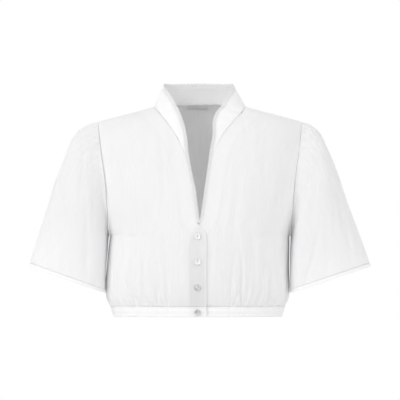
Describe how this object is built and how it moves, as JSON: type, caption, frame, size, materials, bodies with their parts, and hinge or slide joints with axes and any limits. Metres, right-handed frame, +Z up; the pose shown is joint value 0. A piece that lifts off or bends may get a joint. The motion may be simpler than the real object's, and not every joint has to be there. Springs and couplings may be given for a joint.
{
  "type": "blouse",
  "caption": "Short white cotton dirndl blouse in its worn, hollow form: stand collar and deep V edged with lace, gathered half sleeves, button front and gathered elastic hem.",
  "frame": {"origin": "on the centre line, level with the neck ends of the shoulder seams, where the wearer's shoulders hold the blouse", "axes": "+X to the garment's own left, +Y to the back, +Z up"},
  "size_m": [0.598, 0.2324, 0.4093],
  "materials": {
    "cotton": "matt white woven cotton",
    "lace": "matt white narrow cotton lace",
    "pearl": "glossy pearl grey-white shirt button",
    "label": "smooth white woven tape, blank"
  },
  "bodies": {
    "root": {"front_right": "cotton", "front_left": "cotton", "back": "cotton", "sleeve_right": "cotton", "sleeve_left": "cotton", "sleeve_hem_right": "cotton", "sleeve_hem_left": "cotton", "collar": "cotton", "lace_edging": "lace", "casing_right": "cotton", "casing_left": "cotton", "casing_back": "cotton", "button_1": "pearl", "button_2": "pearl", "button_3": "pearl", "button_4": "pearl", "neck_label": "label"}
  },
  "joints": []
}
